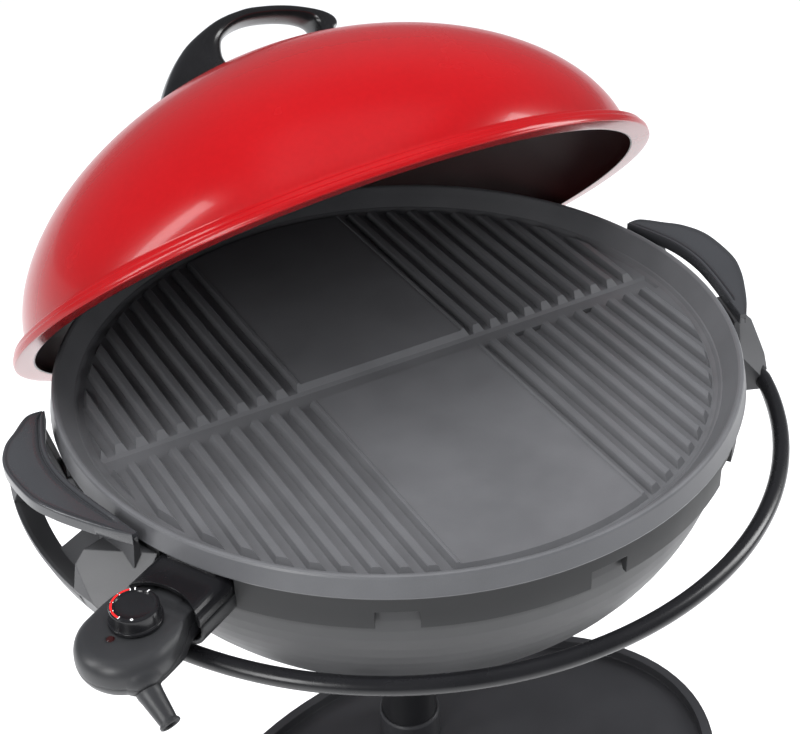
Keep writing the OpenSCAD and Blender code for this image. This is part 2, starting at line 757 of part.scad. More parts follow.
module plate_top() {
    intersection() {
        union() {
            run_y(channel_back - 8, plate_r) ribs_profile();
            run_y(-plate_r, 4 - channel_front) ribs_profile();
            run_y(-plate_r, 4 - channel_front) smooth_profile();
            run_y(channel_back - 8, plate_r) smooth_profile();
        }
        rotate_extrude() polygon([[0, -rib_foot_drop - 0.7], [ribbed_r + 3, -rib_foot_drop - 0.7],
            [ribbed_r + 2.6, -rib_foot_drop + 0.2], [ribbed_r, -rib_top_drop], [0, -rib_top_drop]]);
    }
}

module channel_cut() {
    deep = -rib_foot_drop - channel_deep;
    intersection() {
        rotate([90, 0, 90]) linear_extrude(2 * plate_r, center = true) polygon([
            [-channel_front + 1, deep], [channel_back - 8, deep], [channel_back - 5, deep + 1.5],
            [channel_back, -rib_top_drop + 0.1], [channel_back, 0], [-channel_front - 1, 0],
            [-channel_front, -rib_foot_drop]]);
        rotate_extrude() polygon([[0, deep - 1], [ribbed_r, deep - 1], [rim_foot_r - 1, -rib_foot_drop],
            [rim_foot_r - 1, 0], [0, 0]]);
    }
}

module drain_slot(x, length) {
    translate([x + slot_w / 2, -channel_front + slot_w / 2 - 1.6, -60]) {
        cylinder(h = 60, d = slot_w);
        translate([length - slot_w, 0, 0]) cylinder(h = 60, d = slot_w);
        translate([0, -slot_w / 2, 0]) cube([length - slot_w, slot_w, 60]);
    }
}

module grill_plate() {
    color("#5d5e62") difference() {
        at_deck() difference() {
            union() {
                plate_blank();
                plate_top();
            }
            channel_cut();
            drain_slot(slot_a_x, slot_a_len);
            drain_slot(slot_b_x, slot_b_len);
        }
        at_socket() shroud_screw_places() cylinder(h = 6, d = 3 + 2 * hole_gap);
    }
}

element_z = plate_under - element_d / 2 - 0.02;
pin_start = ring_r - 27;
leg_end_gap = 1.2;

module heating_element() {
    open_deg = 2 * asin((element_legs / 2 + element_r * 0.12) / element_r);
    color("#8a8a8c") at_socket() translate([0, 0, element_z]) {
        rotate([0, 0, open_deg / 2]) rotate_extrude(angle = 360 - open_deg)
            translate([element_r, 0]) circle(d = element_d);
        for (s = [-1, 1]) {
            a = polar(element_r, s * (open_deg / 2 + 1));
            b = [pin_start, s * element_legs / 2];
            translate([a[0], a[1], 0]) rotate([0, 0, atan2(b[1] - a[1], b[0] - a[0])]) rotate([0, 90, 0])
                cylinder(h = norm(b - a), d = element_d - 0.2);
        }
    }
}

module terminal_pins() {
    color("silver") at_socket() for (s = [-1, 1]) translate([pin_start, s * element_legs / 2, element_z]) {
        translate([leg_end_gap, 0, 0]) rotate([0, 90, 0]) cylinder(h = 10, d = element_d - 0.1);
        translate([leg_end_gap, 0, 0]) rotate([0, 90, 0])
            cylinder(h = neck_start - pin_start + pin_l - 20 - leg_end_gap, d = pin_d);
    }
}

// Shroud over the socket

module shroud_arch(half, top) {
    side = socket_top_drop - body_gap;
    polygon(concat([[-half, -side]], open_curve([[-half, -side], [-half, top - 8], [-half + 3.4, top - 2.6],
        [-half + 10, top - 0.6], [0, top], [half - 10, top - 0.6], [half - 3.4, top - 2.6], [half, top - 8],
        [half, -side]], 3)));
}

module shroud() {
    start = skirt_r - skirt_t + 0.3;
    flange_w = 2 * (shroud_half_w - 9);
    color("#1c1c1e") at_socket() difference() {
        union() {
            difference() {
                translate([start, 0, 0]) rotate([90, 0, 90]) linear_extrude(shroud_end - start)
                    shroud_arch(shroud_half_w, seat_z - 1);
                translate([start - 1, 0, 0]) rotate([90, 0, 90]) linear_extrude(shroud_end - start + 2)
                    translate([0, -0.01]) shroud_arch(shroud_half_w - shroud_wall, seat_z - 1 - shroud_wall);
            }
            translate([start, -flange_w / 2, seat_z - 2.6]) cube([skirt_r - start - 1, flange_w, 2.6]);
        }
        translate([shroud_end + 34, 0, -60]) cylinder(h = 60, r = 42);
        shroud_screw_places() translate([0, 0, -4]) cylinder(h = 8, d = 3 + 2 * hole_gap);
    }
}

module shroud_screw_places() {
    for (s = [-1, 1]) translate([skirt_r - skirt_t / 2 - 0.2, s * 11, seat_z]) children();
}

module shroud_screws() {
    color("silver") at_socket() shroud_screw_places() {
        translate([0, 0, -4.2]) cylinder(h = 8.6, d = 3);
        translate([0, 0, -5.6]) cylinder(h = 1.4, d = 5.4);
    }
}

// Thermostat, drawn along its socket: first number outwards, second to the front right

// A round head and a narrower neck, whose shoulders meet the head at its middle
head_r = 31;
head_u = neck_start + 57.5;

// Half of the head's section: distance from its middle, height
head_top = [[0, -stat_top_drop], [20, -stat_top_drop], [25, -stat_top_drop - 1], [28.5, -stat_top_drop - 3.6],
    [30.4, -stat_top_drop - 7.5], [head_r, -stat_seam_drop + 4], [head_r, -stat_seam_drop]];
head_low = [[head_r, -stat_seam_drop], [head_r - 0.8, -stat_seam_drop - 3.5], [28, -stat_drop + 6.5],
    [23.5, -stat_drop + 3.8], [17, -stat_drop + 1.6], [8, -stat_drop + 0.4], [0, -stat_drop + 0.2]];
head_section = concat(open_curve(head_top, 3), open_curve(head_low, 3));

// Half width of the shoulders, from the neck to the head
shoulder_side = [[neck_start, neck_half_w], [neck_start + 22, neck_half_w], [neck_start + 29, neck_half_w + 2],
    [neck_start + 38, neck_half_w + 6.2], [neck_start + 47, head_r - 1.6], [head_u + 0.1, head_r - 0.1]];

// Side view of the neck and shoulders: distance outwards, height
shoulder_top = [[neck_start, -stat_top_drop - 6], [neck_start + 20, -stat_top_drop - 5.4],
    [neck_start + 29, -stat_top_drop - 2.2], [neck_start + 37, -stat_top_drop - 0.2], [head_u, -stat_top_drop]];
shoulder_low = [[head_u, -stat_drop + 0.2], [neck_start + 31, -stat_drop + 0.8], [neck_start + 24, -stat_drop + 3],
    [neck_start, -stat_drop + 4]];

module shoulders() {
    side = open_curve(shoulder_side, 3);
    intersection() {
        translate([0, 0, -stat_drop - 1]) linear_extrude(stat_drop + 1)
            polygon(concat(side, reversed([for (q = side) [q[0], -q[1]]])));
        rotate([90, 0, 0]) linear_extrude(80, center = true)
            polygon(concat(open_curve(shoulder_top, 3), open_curve(shoulder_low, 3)));
        translate([neck_start - 1, 0, 0]) rotate([90, 0, 90]) linear_extrude(100)
            polygon(concat(reversed([for (q = head_section) [-q[0], q[1]]]), head_section));
    }
}

// Lobe that the cord's sleeve comes out of
module sleeve_lobe() {
    translate([sleeve_from[0] - 3, sleeve_from[1] - 5.5, 0]) rotate_extrude() polygon(open_curve([
        [0, -stat_top_drop - 4], [8, -stat_top_drop - 5], [12, -stat_top_drop - 8], [14, -stat_seam_drop + 3],
        [14, -stat_seam_drop - 2], [12, -stat_drop + 7], [7, -stat_drop + 3], [0, -stat_drop + 2]], 3));
}

module thermostat_body(low, high) {
    intersection() {
        union() {
            shoulders();
            translate([head_u, 0, 0]) rotate_extrude() polygon(head_section);
            sleeve_lobe();
        }
        translate([neck_start - 10, -60, low]) cube([120, 120, high - low]);
    }
}

module pin_bores(extra) {
    for (s = [-1, 1]) translate([neck_start - 1, s * element_legs / 2, element_z]) rotate([0, 90, 0])
        cylinder(h = 20, d = pin_d + extra);
}

contact_wall = 1;

module thermostat_lower() {
    color("#35363a") at_socket() difference() {
        thermostat_body(-stat_drop - 1, -stat_seam_drop);
        probe_bore();
        sleeve_seat(0.2);
    }
}

module thermostat_upper() {
    color("#35363a") at_socket() difference() {
        thermostat_body(-stat_seam_drop, 0);
        pin_bores(2 * contact_wall + 0.9);
        translate([dial_u, 0, -stat_seam_drop + 4]) cylinder(h = 40, d = dial_shaft_d + 0.1);
        translate([lens_u, lens_v, -stat_top_drop - 3.4]) cylinder(h = 40, d = lens_d + 0.1);
        sleeve_seat(0.2);
    }
}

probe_z = -stat_seam_drop - 3.5;

module probe_bore() {
    translate([neck_start - 1, 0, probe_z]) rotate([0, 90, 0]) cylinder(h = 13, d = probe_d + 2 * hole_gap);
}

module probe() {
    color("silver") at_socket() translate([neck_start - probe_l, 0, probe_z]) {
        rotate([0, 90, 0]) cylinder(h = probe_l + 11, d = probe_d);
        sphere(d = probe_d);
    }
}

module pin_contacts() {
    color("goldenrod") at_socket() for (s = [-1, 1])
        translate([neck_start + 1, s * element_legs / 2, element_z]) rotate([0, 90, 0]) difference() {
            cylinder(h = 17.6, d = pin_d + 2 * contact_wall + 0.7);
            translate([0, 0, -1]) cylinder(h = 17, d = pin_d + 0.7);
        }
}

lens_u = neck_start + 66.5;
lens_v = -3;
lens_d = 5;

module pilot_lens() {
    color("#7a2222") at_socket() translate([lens_u, lens_v, -stat_top_drop - 3.2]) {
        cylinder(h = 3.2, d = lens_d);
        translate([0, 0, 3.2]) cylinder(h = 0.6, d1 = lens_d - 0.2, d2 = lens_d - 1.6);
    }
}

// Cord sleeve: from a seat in the thermostat's corner, out and down
sleeve_from = [neck_start + 71, 22.5, -37];
sleeve_to = [neck_start + 79.5, 46.5, -50];
sleeve_d = 15.6;
sleeve_end_d = 11.3;
sleeve_bore_d = 7.4;

module along_sleeve() {
    d = sleeve_to - sleeve_from;
    translate(sleeve_from) rotate([0, acos(d[2] / norm(d)), atan2(d[1], d[0])]) children();
}

module sleeve_seat(extra) {
    along_sleeve() translate([0, 0, -4]) cylinder(h = 30, d = sleeve_d + extra);
}

module cord_sleeve() {
    l = norm(sleeve_to - sleeve_from);
    color("#3a3b3d") at_socket() along_sleeve() rotate_extrude() polygon([[sleeve_bore_d / 2, -3.8],
        [sleeve_d / 2, -3.8], [sleeve_d / 2, 6], [sleeve_d / 2 - 0.5, 9], [sleeve_end_d / 2 + 0.2, l - 5],
        [sleeve_end_d / 2, l - 3], [sleeve_end_d / 2 + 0.9, l - 1.6], [sleeve_end_d / 2 + 0.9, l - 0.5],
        [sleeve_end_d / 2 + 0.2, l], [sleeve_bore_d / 2, l]]);
}

module dial() {
    r = dial_d / 2;
    t = dial_top_d / 2;
    color("#1a1a1c") at_socket() translate([dial_u, 0, -stat_top_drop + body_gap]) difference() {
        rotate_extrude() polygon([[0, 1.2], [r - 3, 1.2], [r - 3, 0.9], [r, 0.9], [r, 3], [t + 0.6, dial_h - 1.4],
            [t - 0.4, dial_h], [t - 1.2, dial_h + 0.6], [t - 3, dial_h], [0, dial_h - 0.6]]);
        translate([0, 0, -1]) cylinder(h = 7, d = dial_shaft_d + 0.02);
        translate([-0.6, t - 6.5, dial_h - 1.1]) cube([1.2, 4.4, 3]);
    }
}

module dial_shaft() {
    color("silver") at_socket() translate([dial_u, 0, -stat_seam_drop + 4.6])
        cylinder(h = stat_seam_drop - 4.6 - stat_top_drop + 6, d = dial_shaft_d);
}

// Lid

module lid_dome() {
    outer = dome_curve(0);
    inner = dome_curve(dome_wall);
    color("#c8102a") at_lid() difference() {
        rotate_extrude() polygon(concat([[dome_r - dome_wall, 0], [bead_r - 1.4, 0], [bead_r, 1.4],
            [bead_r, 4.6], [bead_r - 1.6, 5.8], [bead_r - 2.2, 8.4], [bead_r - 5, 9.6], [dome_r + 3, 10.2],
            [dome_r + 0.6, bead_h]], [for (i = [1:24]) outer[i]], reversed(inner)));
        lid_screw_places() cylinder(h = 20, d = 5 + 2 * hole_gap, center = true);
    }
}

// Outline of the lid handle, seen from the front: distance to the right, height over the lid's rim
arch_outer = [[-92, 128], [-90.5, 139], [-84.5, 151], [-74, 165.4], [-61.6, 178], [-48, 187.6], [-25, 197.8],
    [-2, 201.4], [12.5, 200.4], [28, 197.6], [41.5, 193.4], [53, 188], [61.2, 182.6], [65.4, 177.4], [65, 172],
    [60, 168.4], [56, 150]];
arch_inner = [[42, 150], [45, 166], [47, 175], [45, 181.4], [38, 186], [27, 189.4], [15, 191.6], [2.6, 192.6],
    [-8, 191.6], [-17, 188.6], [-25, 183], [-29, 175], [-30, 166], [-26, 158], [-16, 152], [-8, 148]];

module lid_handle() {
    half_g = lid_grip_w / 2;
    half_f = lid_foot_w / 2;
    grip_z = 186;
    foot_z = 150;
    color("#1b1b1d") at_lid() difference() {
        intersection() {
            along_y(lid_foot_w + 10) polygon(concat(open_curve(arch_outer, 3), open_curve(arch_inner, 3)));
            rotate([90, 0, 90]) linear_extrude(400, center = true) polygon(open_curve([[-half_f, foot_z - 24],
                [-half_f, foot_z + 6], [-half_g - 3, grip_z - 8], [-half_g, grip_z + 6], [-half_g + 4, grip_z + 16],
                [0, grip_z + 21], [half_g - 4, grip_z + 16], [half_g, grip_z + 6], [half_g + 3, grip_z - 8],
                [half_f, foot_z + 6], [half_f, foot_z - 24]], 4));
        }
        rotate_extrude() polygon(concat([[0, 0]], dome_curve(-0.2)));
        lid_screw_places() cylinder(h = 52, d = 5 + 0.1, center = true);
        translate([foot_plate_x - foot_plate_l / 2, -lid_foot_w, 0]) cube([120, 2 * lid_foot_w, foot_plate_z]);
    }
}

foot_plate_x = 29;

function foot_plate_outline(extra) = let (a = foot_plate_l / 2 + extra, b = foot_plate_w / 2 + extra,
    corner = [[a, b * 0.5], [a * 0.78, b * 0.92], [a * 0.35, b], [-a * 0.35, b], [-a * 0.78, b * 0.92], [-a, b * 0.5]])
    closed_curve(concat(corner, [for (q = corner) [-q[0], -q[1]]]), 3);

module lid_foot_plate() {
    color("#505154") at_lid() difference() {
        translate([foot_plate_x, 0, dome_h - 24]) linear_extrude(foot_plate_z - dome_h + 24)
            polygon(foot_plate_outline(0));
        rotate_extrude() polygon(concat([[0, 0]], dome_curve(-0.2)));
        lid_screw_places() cylinder(h = 40, d = 5 + 2 * hole_gap, center = true);
    }
}

// Screws from inside the dome up into the lid handle's feet
module lid_screw_places() {
    for (x = [-58, 53]) translate([x, 0, dome_in_r_height(abs(x))]) children();
}

function dome_in_r_height(r) = bead_h + (dome_h - bead_h - dome_wall)
    * pow(1 - pow(r / (dome_r - dome_wall), dome_power), 1 / dome_power);

module lid_screws() {
    color("silver") at_lid() lid_screw_places() {
        translate([0, 0, -4.6]) cylinder(h = 3, d = 10);
        translate([0, 0, -2]) cylinder(h = 24, d = 5);
    }
}

// Drip pan on the bowl's floor

module drip_pan() {
    low = -bowl_flat_drop + bowl_floor_t + body_gap;
    w = pan_wall;
    color("#a0a0a2") at_deck() rotate_extrude() polygon([[0, low], [pan_floor_r, low], [pan_floor_r + 4, low + 1],
        [pan_rim_r - 2, low + pan_h - 1.5], [pan_rim_r + 3.4, low + pan_h - 1.5], [pan_rim_r + 4, low + pan_h],
        [pan_rim_r - 2.8, low + pan_h], [pan_floor_r + 2.6, low + 1 + w], [pan_floor_r - 1, low + w], [0, low + w]]);
}

base_pad();
base_plate();
pole_lower();
pole_coupling();
pole_upper();
shelf();
shelf_collar();
head_flange();
flange_screws();
bowl();
rim_ring();
socket_housing();
left_handle_wing();
left_handle_rail();
right_handle_wing();
right_handle_rail();
handle_screws();
hoop();
lid_holder();
holder_screws();
grill_plate();
heating_element();
terminal_pins();
shroud();
shroud_screws();
thermostat_lower();
thermostat_upper();
probe();
pin_contacts();
pilot_lens();
cord_sleeve();
dial();
dial_shaft();
lid_dome();
lid_handle();
lid_foot_plate();
lid_screws();
drip_pan();
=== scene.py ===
import math

import bmesh
import bpy
import numpy as np
from mathutils import Matrix, Vector


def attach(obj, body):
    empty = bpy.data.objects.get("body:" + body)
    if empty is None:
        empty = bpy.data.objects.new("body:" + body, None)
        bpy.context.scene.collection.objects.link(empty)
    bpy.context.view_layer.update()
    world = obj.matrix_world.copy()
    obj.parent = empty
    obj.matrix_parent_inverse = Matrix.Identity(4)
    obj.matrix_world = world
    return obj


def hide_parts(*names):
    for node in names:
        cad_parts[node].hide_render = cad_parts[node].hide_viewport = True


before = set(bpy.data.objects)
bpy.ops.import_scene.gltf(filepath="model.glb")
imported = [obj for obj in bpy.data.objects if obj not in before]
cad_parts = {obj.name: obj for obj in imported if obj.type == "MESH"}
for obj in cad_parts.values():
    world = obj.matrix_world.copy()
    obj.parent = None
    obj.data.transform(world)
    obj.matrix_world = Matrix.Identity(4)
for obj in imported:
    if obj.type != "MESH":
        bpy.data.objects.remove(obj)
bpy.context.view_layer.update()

MM = 0.001
DECK = 0.8  # height of the plate's crest, in metres

# Sizes in millimetres and angles in degrees, as in the part's source
PLATE_R = 240
LID_BACK = 88.9
LID_UP = 24.5
LID_TILT = 43.3
DOME_R = 232.3
DOME_RISE = 147.5
DOME_WALL = 1.6
DOME_POWER = 1.82
BEAD_H = 11.5
FOOT_PLATE_TOP = 164.4
FOOT_PLATE_LEFT = -6
HOOP_R = 272
HOOP_TUBE_R = 6.0
HOOP_Z = -58
HOOP_FROM = -158.5
HOOP_SWEEP = 137
SOCKET_AT = -150
DIAL_REACH = 296.5
DIAL_Z = -16.7


# Materials

class Graph:
    def __init__(self, name):
        self.mat = bpy.data.materials.new(name)
        self.mat.use_nodes = True
        self.tree = self.mat.node_tree
        self.tree.nodes.clear()
        self.out = self.node("ShaderNodeOutputMaterial")
        self.bsdf = self.node("ShaderNodeBsdfPrincipled")
        self.link(self.bsdf.outputs["BSDF"], self.out.inputs["Surface"])
        self.where = self.node("ShaderNodeTexCoord").outputs["Object"]

    def node(self, kind, **values):
        n = self.tree.nodes.new(kind)
        for k, v in values.items():
            setattr(n, k, v)
        return n

    def link(self, a, b):
        self.tree.links.new(a, b)

    def noise(self, scale, detail=3.0):
        n = self.node("ShaderNodeTexNoise")
        n.inputs["Scale"].default_value = scale
        n.inputs["Detail"].default_value = detail
        n.inputs["Roughness"].default_value = 0.55
        self.link(self.where, n.inputs["Vector"])
        return n.outputs["Fac"]

    def range(self, value, low, high, a=0.3, b=0.7):
        n = self.node("ShaderNodeMapRange")
        n.inputs["From Min"].default_value = a
        n.inputs["From Max"].default_value = b
        n.inputs["To Min"].default_value = low
        n.inputs["To Max"].default_value = high
        self.link(value, n.inputs["Value"])
        return n.outputs["Result"]

    def math(self, op, a, b):
        n = self.node("ShaderNodeMath", operation=op)
        for i, v in enumerate((a, b)):
            if isinstance(v, (int, float)):
                n.inputs[i].default_value = v
            else:
                self.link(v, n.inputs[i])
        return n.outputs["Value"]

    def mix(self, fac, a, b):
        n = self.node("ShaderNodeMix", data_type="RGBA")
        self.link(fac, n.inputs["Factor"])
        for v, i in ((a, 6), (b, 7)):
            n.inputs[i].default_value = (*v, 1.0)
        return n.outputs[2]

    def bump(self, height, strength, distance, after=None):
        n = self.node("ShaderNodeBump")
        n.inputs["Strength"].default_value = strength
        n.inputs["Distance"].default_value = distance
        self.link(height, n.inputs["Height"])
        if after is not None:
            self.link(after, n.inputs["Normal"])
        return n.outputs["Normal"]

    def soft_edges(self, radius):
        n = self.node("ShaderNodeBevel", samples=4)
        n.inputs["Radius"].default_value = radius
        return n.outputs["Normal"]

    def set(self, **values):
        for k, v in values.items():
            i = self.bsdf.inputs[k.replace("_", " ")]
            if isinstance(v, (int, float)):
                i.default_value = v
            else:
                self.link(v, i)


def shade(c, k):
    return tuple(min(1.0, x * k) for x in c)


def finish_mat(name, colour, rough, vary, patch, grain, grain_h, grain_s, rough_vary=0.05,
               metallic=0.0, coat=0.0, coat_rough=0.05, level=0.5, edge=0.0):
    """A finish with cloudy patches and a fine grain; edge is the radius that softens edges in the shading."""
    g = Graph(name)
    cloud = g.noise(patch, 4.0)
    fine = g.noise(grain)
    both = g.math("ADD", g.math("MULTIPLY", cloud, 0.65), g.math("MULTIPLY", fine, 0.35))
    spread = g.range(both, 0.0, 1.0, 0.38, 0.62)
    g.set(Base_Color=g.mix(spread, shade(colour, 1 - vary), shade(colour, 1 + vary)))
    g.set(Roughness=g.range(cloud, rough - rough_vary, rough + rough_vary))
    g.set(Normal=g.bump(fine, grain_s, grain_h, g.soft_edges(edge) if edge else None))
    g.set(Metallic=metallic, Coat_Weight=coat, Coat_Roughness=coat_rough, Specular_IOR_Level=level)
    return g.mat


MATS = {
    "lid_red": finish_mat("gloss_red", (0.27, 0.0008, 0.0024), 0.26,
        0.05, 9.0, 260.0, 0.00002, 0.05, 0.03, coat=0.25, coat_rough=0.08, level=0.28),
    # Dark maroon for the dome's inside: the shade of its hollow painted into the red's colour
    "lid_inner_painted_shade": finish_mat("inner_red_painted_shade", (0.030, 0.005, 0.005), 0.34,
        0.2, 14.0, 500.0, 0.00002, 0.2, 0.05),
    "plate_grey": finish_mat("plate_coating", (0.088, 0.089, 0.094), 0.34,
        0.08, 26.0, 1500.0, 0.00003, 0.25, 0.04),
    "bowl_grey": finish_mat("bowl_coating", (0.026, 0.0263, 0.0278), 0.46,
        0.10, 22.0, 1300.0, 0.00003, 0.25, 0.05, edge=0.0020),
    "ring_dark": finish_mat("ring_coating", (0.017, 0.0173, 0.018), 0.5,
        0.1, 26.0, 1300.0, 0.00003, 0.25, 0.05, edge=0.0008),
    "handle_grey": finish_mat("handle_moulding", (0.046, 0.0465, 0.049), 0.42,
        0.10, 22.0, 1500.0, 0.00006, 0.35, 0.05, edge=0.0012),
    "wing_satin": finish_mat("wing_satin", (0.030, 0.031, 0.034), 0.24,
        0.06, 16.0, 1200.0, 0.00002, 0.10, 0.03, coat=0.3, coat_rough=0.12),
    "handle_black": finish_mat("gloss_black", (0.006, 0.006, 0.0066), 0.24,
        0.15, 25.0, 1100.0, 0.00002, 0.08, 0.04),
    "black_metal": finish_mat("black_lacquer", (0.0065, 0.0065, 0.0075), 0.28,
        0.12, 30.0, 1100.0, 0.00003, 0.12, 0.05, edge=0.0006),
    "stat_grey": finish_mat("stat_moulding", (0.020, 0.0205, 0.022), 0.38,
        0.10, 26.0, 1400.0, 0.00003, 0.25, 0.04, edge=0.0030),
    "dial_black": finish_mat("dial_moulding", (0.008, 0.008, 0.009), 0.18,
        0.15, 30.0, 900.0, 0.00001, 0.06, 0.04),
    "mark_red": finish_mat("mark_red", (0.60, 0.01, 0.01), 0.4,
        0.08, 60.0, 2000.0, 0.00001, 0.1, 0.04),
    "mark_white": finish_mat("mark_white", (0.75, 0.75, 0.75), 0.4,
        0.05, 60.0, 2000.0, 0.00001, 0.1, 0.04),
    "lens_red": finish_mat("lens_smoked", (0.022, 0.004, 0.004), 0.15,
        0.1, 40.0, 900.0, 0.00001, 0.05, 0.03),
    "rubber_black": finish_mat("rubber", (0.018, 0.018, 0.019), 0.55,
        0.15, 50.0, 1500.0, 0.00004, 0.3, 0.06),
    "steel": finish_mat("zinc_steel", (0.55, 0.55, 0.56), 0.32,
        0.1, 60.0, 1500.0, 0.00002, 0.2, 0.08, metallic=1.0, edge=0.0003),
    "element_steel": finish_mat("element_steel", (0.20, 0.18, 0.17), 0.42,
        0.2, 40.0, 900.0, 0.00004, 0.3, 0.1, metallic=1.0),
    "contact_brass": finish_mat("brass", (0.62, 0.43, 0.16), 0.3,
        0.12, 60.0, 1200.0, 0.00002, 0.2, 0.08, metallic=1.0),
    "pan_metal": finish_mat("pan_metal", (0.52, 0.52, 0.53), 0.36,
        0.12, 20.0, 900.0, 0.00002, 0.2, 0.1, metallic=1.0),
    "foot_plate_grey": finish_mat("satin_plate", (0.20, 0.20, 0.205), 0.34,
        0.1, 40.0, 1400.0, 0.00002, 0.2, 0.05, metallic=0.7, edge=0.0025),
    "shelf_black": finish_mat("shelf_coating", (0.030, 0.030, 0.033), 0.42,
        0.1, 24.0, 1300.0, 0.00003, 0.25, 0.05, edge=0.0015),
    "stand_black": finish_mat("stand_coating", (0.014, 0.014, 0.0155), 0.36,
        0.1, 24.0, 1300.0, 0.00003, 0.25, 0.05, edge=0.0006),
}

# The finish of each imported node
NODE_MATS = {
    "rubber_black": ["base_pad"],
    "stand_black": ["base_plate", "pole_lower", "pole_upper", "head_flange"],
    "steel": ["pole_coupling", "flange_screws", "handle_screws", "holder_screws", "shroud_screws", "probe",
              "dial_shaft", "lid_screws", "terminal_pins"],
    "shelf_black": ["shelf", "shelf_collar"],
    "bowl_grey": ["bowl"],
    "ring_dark": ["rim_ring"],
    "stat_grey": ["socket_housing", "thermostat_lower", "thermostat_upper", "cord_sleeve"],
    "handle_grey": ["left_handle_wing", "right_handle_wing", "left_handle_rail", "right_handle_rail"],
    "black_metal": ["hoop", "lid_holder", "shroud"],
    "plate_grey": ["grill_plate"],
    "element_steel": ["heating_element"],
    "contact_brass": ["pin_contacts"],
    "lens_red": ["pilot_lens"],
    "dial_black": ["dial"],
    "lid_red": ["lid_dome"],
    "handle_black": ["lid_handle"],
    "foot_plate_grey": ["lid_foot_plate"],
    "pan_metal": ["drip_pan"],
}
for key, names in NODE_MATS.items():
    for n in names:
        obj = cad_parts[n]
        for i in range(len(obj.material_slots)):
            obj.material_slots[i].link = "OBJECT"
            obj.material_slots[i].material = MATS[key]


# Mesh helpers

def catmull(points, n):
    p = [np.array(q, float) for q in points]
    last = len(p) - 1
    out = []
    for i in range(last):
        a, b, c, d = p[max(i - 1, 0)], p[i], p[i + 1], p[min(i + 2, last)]
        for k in range(n):
            t = k / n
            out.append(0.5 * (2 * b + (c - a) * t + (2 * a - 5 * b + 4 * c - d) * t * t
                              + (3 * b - a - 3 * c + d) * t ** 3))
    out.append(p[last])
    return out


def piece(name, verts, faces, mats, body, nodes=(), index=None, sharp=50.0, matrix=None):
    mesh = bpy.data.meshes.new(name)
    pts = [Vector(v) * MM for v in verts]
    if matrix is not None:
        pts = [matrix @ v for v in pts]
    mesh.from_pydata(pts, [], faces)
    for m in mats:
        mesh.materials.append(m)
    if index is not None:
        mesh.polygons.foreach_set("material_index", index)
    bm = bmesh.new()
    bm.from_mesh(mesh)
    bmesh.ops.remove_doubles(bm, verts=bm.verts, dist=2e-6)
    bmesh.ops.dissolve_degenerate(bm, edges=bm.edges, dist=1e-6)
    bmesh.ops.recalc_face_normals(bm, faces=bm.faces)
    bm.to_mesh(mesh)
    bm.free()
    mesh.polygons.foreach_set("use_smooth", [True] * len(mesh.polygons))
    mesh.set_sharp_from_angle(angle=math.radians(sharp))
    obj = bpy.data.objects.new(name, mesh)
    bpy.context.collection.objects.link(obj)
    if nodes:
        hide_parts(*nodes)
    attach(obj, body)
    return obj


def revolve(profile, n, start=0.0, sweep=360.0, loop=True):
    whole = sweep >= 360.0
    rows = n if whole else n + 1
    verts = []
    for i in range(rows):
        a = math.radians(start + sweep * i / n)
        verts += [(r * math.cos(a), r * math.sin(a), z) for r, z in profile]
    m = len(profile)
    faces = []
    for i in range(n):
        j = (i + 1) % rows
        for k in range(m if loop else m - 1):
            l = (k + 1) % m
            faces.append((i * m + k, j * m + k, j * m + l, i * m + l))
    if not whole:
        faces += [tuple(range(m)), tuple(range((rows - 1) * m, rows * m))]
    return verts, faces


def loft(rings):
    m = len(rings[0])
    verts = [p for ring in rings for p in ring]
    faces = []
    for i in range(len(rings) - 1):
        for k in range(m):
            l = (k + 1) % m
            faces.append((i * m + k, (i + 1) * m + k, (i + 1) * m + l, i * m + l))
    faces += [tuple(range(m)), tuple(range((len(rings) - 1) * m, len(rings) * m))]
    return verts, faces


AT_DECK = Matrix.Translation((0, 0, DECK))
AT_LID = (Matrix.Translation((0, LID_BACK * MM, DECK + LID_UP * MM))
          @ Matrix.Rotation(math.radians(-LID_TILT), 4, "X"))
AT_SOCKET = AT_DECK @ Matrix.Rotation(math.radians(SOCKET_AT), 4, "Z")


# Lid dome: one smooth shell, gloss outside, and inside a dark maroon that is painted shade of the dome's hollow

def dome_point(t, r, h):
    e = 2 / DOME_POWER
    return r * max(math.cos(t), 0.0) ** e, BEAD_H + h * math.sin(t) ** e


def dome_height(r):
    q = 1 - (min(r, DOME_R - 0.01) / DOME_R) ** DOME_POWER
    return BEAD_H + DOME_RISE * q ** (1 / DOME_POWER)


def dome_curve(wall):
    return [dome_point(math.radians(90 * i / 72), DOME_R - wall, DOME_RISE - wall) for i in range(73)]


outer = dome_curve(0)
mouth = [tuple(p) for p in catmull([
    (230.7, 0.6), (231.3, 0), (243.6, 0), (245.0, 1.2), (245.2, 3.0), (244.8, 4.8), (243.6, 5.8), (243.0, 8.0),
    (241.6, 9.2), (235.6, 10.1), (233.0, 11.0)], 4)]
profile = outer[::-1] + mouth[::-1] + dome_curve(DOME_WALL)
verts, faces = revolve(profile, 288, loop=False)
per = len(profile) - 1
# Faces from the inner lip inwards take the dark maroon of painted shade
dark_from = len(outer) + len(mouth) - 5
index = [1 if (k % per) >= dark_from else 0 for k in range(len(faces))]
piece("lid_shell", verts, faces, [MATS["lid_red"], MATS["lid_inner_painted_shade"]], "lid", ["lid_dome"], index,
      sharp=60, matrix=AT_LID)


# Lid handle: a loft from foot to foot that stays outside the dome

